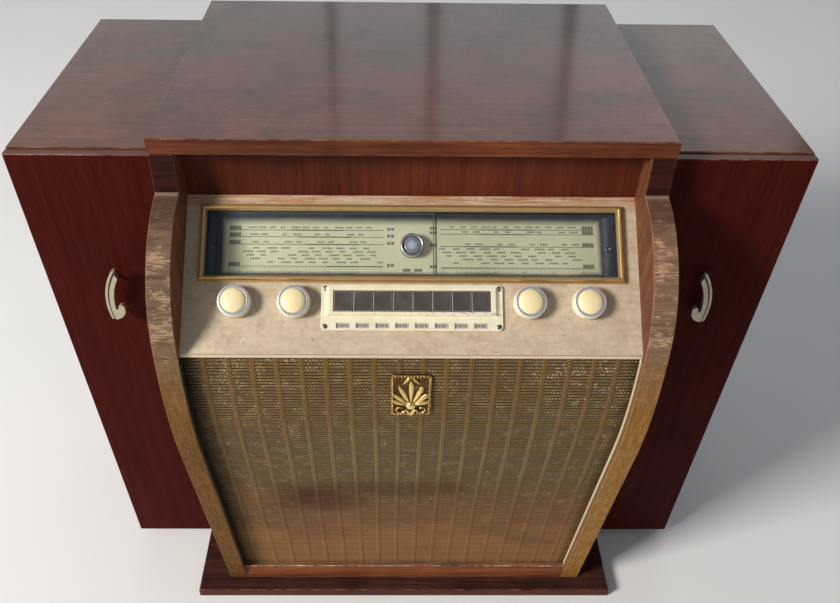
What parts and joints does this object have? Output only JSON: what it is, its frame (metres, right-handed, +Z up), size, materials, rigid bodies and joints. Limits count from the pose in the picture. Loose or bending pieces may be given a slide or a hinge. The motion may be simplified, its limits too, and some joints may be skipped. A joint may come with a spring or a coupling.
{
  "type": "console radio",
  "caption": "Floor-standing radio console with sloping dial and keys, woven grille, lift-up lid over a record player and a record case with a door on each side.",
  "frame": {"origin": "middle of the bounding box at floor level", "axes": "+X to the right seen from the front, front faces -Y, +Z up from the floor"},
  "size_m": [0.88, 0.518, 0.762],
  "materials": {
    "mahogany": "polished",
    "cheek_wood": "worn varnish",
    "panel_wood": "bleached",
    "carcass_wood": "satin",
    "hardboard": "matte",
    "grille_fabric": "woven",
    "gilt": "gilt",
    "brass": "satin",
    "handle_metal": "satin",
    "ivory_plastic": "gloss",
    "key_plastic": "gloss",
    "dial_glass": "clear",
    "dial_print": "printed",
    "pointer_paint": "satin",
    "eye_steel": "polished",
    "steel": "plated",
    "dark_steel": "satin",
    "valve_glass": "clear",
    "cone_paper": "matte",
    "rubber": "matte",
    "platter_metal": "hammered",
    "arm_plastic": "gloss"
  },
  "bodies": {
    "cabinet": {"plinth": "mahogany", "left_cheek": "cheek_wood", "right_cheek": "cheek_wood", "fascia_board": "mahogany", "control_panel": "panel_wood", "grille_rail": "mahogany", "grille_cloth": "grille_fabric", "baffle_board": "hardboard", "speaker_frame": "dark_steel", "speaker_cone": "cone_paper", "back_rail": "carcass_wood", "back_panel": "hardboard", "cable_gland": "rubber", "motor_board": "carcass_wood", "record_spindle": "steel", "tonearm_base": "arm_plastic", "phono_motor": "dark_steel", "chassis": "steel", "chassis_valves": "valve_glass", "control_pots": "steel", "key_switch": "steel", "tuning_capacitor": "steel", "dial_bezel": "brass", "dial_glass": "dial_glass", "dial_plate": "dial_print", "magic_eye": "eye_steel", "key_escutcheon": "ivory_plastic", "grille_emblem": "gilt", "wing_tops": "mahogany", "left_wing_case": "carcass_wood", "right_wing_case": "carcass_wood", "fixed_hinge_leaves": "brass", "stay_guide": "brass"},
    "lid": {"lid": "mahogany", "lid_hinge_leaves": "brass", "lid_stay": "brass"},
    "left_door": {"left_door": "mahogany", "left_door_handle": "handle_metal", "left_door_leaves": "brass"},
    "right_door": {"right_door": "mahogany", "right_door_handle": "handle_metal", "right_door_leaves": "brass"},
    "platter": {"platter": "platter_metal", "platter_mat": "rubber"},
    "tonearm_yoke": {"tonearm_yoke": "steel"},
    "tonearm": {"tonearm": "arm_plastic"},
    "volume_knob": {"volume_knob": "ivory_plastic"},
    "bass_knob": {"bass_knob": "ivory_plastic"},
    "treble_knob": {"treble_knob": "ivory_plastic"},
    "tuning_knob": {"tuning_knob": "ivory_plastic"},
    "dial_pointer": {"dial_pointer": "pointer_paint"},
    "tuning_rotor": {"tuning_rotor": "brass"},
    "wave_key_1": {"wave_key_1": "key_plastic"},
    "wave_key_2": {"wave_key_2": "key_plastic"},
    "wave_key_3": {"wave_key_3": "key_plastic"},
    "wave_key_4": {"wave_key_4": "key_plastic"},
    "wave_key_5": {"wave_key_5": "key_plastic"},
    "wave_key_6": {"wave_key_6": "key_plastic"},
    "wave_key_7": {"wave_key_7": "key_plastic"},
    "wave_key_8": {"wave_key_8": "key_plastic"}
  },
  "joints": [
    {"name": "lid_hinge", "type": "hinge", "parent": "cabinet", "child": "lid", "pos_m": [0, 0.253, 0.74275], "axis": [-1, 0, 0], "range_deg": [0, 75]},
    {"name": "left_door_hinge", "type": "hinge", "parent": "cabinet", "child": "left_door", "pos_m": [-0.437, -0.09775, 0.37], "axis": [0, 0, -1], "range_deg": [0, 150]},
    {"name": "right_door_hinge", "type": "hinge", "parent": "cabinet", "child": "right_door", "pos_m": [0.437, -0.09775, 0.37], "axis": [0, 0, 1], "range_deg": [0, 150]},
    {"name": "platter_spin", "type": "hinge", "parent": "cabinet", "child": "platter", "pos_m": [-0.062, 0.072, 0.657], "axis": [0, 0, -1], "continuous": true},
    {"name": "tonearm_swing", "type": "hinge", "parent": "cabinet", "child": "tonearm_yoke", "pos_m": [0.115, 0.17, 0.674], "axis": [0, 0, -1], "range_deg": [0, 42]},
    {"name": "tonearm_lift", "type": "hinge", "parent": "tonearm_yoke", "child": "tonearm", "pos_m": [0.115, 0.17, 0.689], "axis": [-1, 0, 0], "range_deg": [0, 11]},
    {"name": "volume_turn", "type": "hinge", "parent": "cabinet", "child": "volume_knob", "pos_m": [-0.1915, -0.20642, 0.60946], "axis": [0, 0.6252, -0.7804], "range_deg": [0, 270]},
    {"name": "bass_turn", "type": "hinge", "parent": "cabinet", "child": "bass_knob", "pos_m": [-0.1275, -0.20642, 0.60946], "axis": [0, 0.6252, -0.7804], "range_deg": [0, 270]},
    {"name": "treble_turn", "type": "hinge", "parent": "cabinet", "child": "treble_knob", "pos_m": [0.1275, -0.20642, 0.60946], "axis": [0, 0.6252, -0.7804], "range_deg": [0, 270]},
    {"name": "tuning_turn", "type": "hinge", "parent": "cabinet", "child": "tuning_knob", "pos_m": [0.1915, -0.20642, 0.60946], "axis": [0, 0.6252, -0.7804], "range_deg": [0, 2160]},
    {"name": "pointer_slide", "type": "slide", "parent": "cabinet", "child": "dial_pointer", "axis": [1, 0, 0], "range_m": [0, 0.19]},
    {"name": "capacitor_turn", "type": "hinge", "parent": "cabinet", "child": "tuning_rotor", "pos_m": [0.062, -0.09909, 0.55706], "axis": [0, 0.6252, -0.7804], "range_deg": [0, 180]},
    {"name": "wave_key_1_press", "type": "slide", "parent": "cabinet", "child": "wave_key_1", "axis": [0, 0.6252, -0.7804], "range_m": [0, 0.006], "stiffness_N_per_m": 300, "springref_m": -0.003},
    {"name": "wave_key_2_press", "type": "slide", "parent": "cabinet", "child": "wave_key_2", "axis": [0, 0.6252, -0.7804], "range_m": [0, 0.006], "stiffness_N_per_m": 300, "springref_m": -0.003},
    {"name": "wave_key_3_press", "type": "slide", "parent": "cabinet", "child": "wave_key_3", "axis": [0, 0.6252, -0.7804], "range_m": [0, 0.006], "stiffness_N_per_m": 300, "springref_m": -0.003},
    {"name": "wave_key_4_press", "type": "slide", "parent": "cabinet", "child": "wave_key_4", "axis": [0, 0.6252, -0.7804], "range_m": [0, 0.006], "stiffness_N_per_m": 300, "springref_m": -0.003},
    {"name": "wave_key_5_press", "type": "slide", "parent": "cabinet", "child": "wave_key_5", "axis": [0, 0.6252, -0.7804], "range_m": [0, 0.006], "stiffness_N_per_m": 300, "springref_m": -0.003},
    {"name": "wave_key_6_press", "type": "slide", "parent": "cabinet", "child": "wave_key_6", "axis": [0, 0.6252, -0.7804], "range_m": [0, 0.006], "stiffness_N_per_m": 300, "springref_m": -0.003},
    {"name": "wave_key_7_press", "type": "slide", "parent": "cabinet", "child": "wave_key_7", "axis": [0, 0.6252, -0.7804], "range_m": [0, 0.006], "stiffness_N_per_m": 300, "springref_m": -0.003},
    {"name": "wave_key_8_press", "type": "slide", "parent": "cabinet", "child": "wave_key_8", "axis": [0, 0.6252, -0.7804], "range_m": [0, 0.006], "stiffness_N_per_m": 300, "springref_m": -0.003}
  ],
  "couplings": [
    {"joint": "pointer_slide", "follows": "tuning_turn", "m_per_rad": 0.005039},
    {"joint": "capacitor_turn", "follows": "tuning_turn", "ratio": 0.0833}
  ]
}
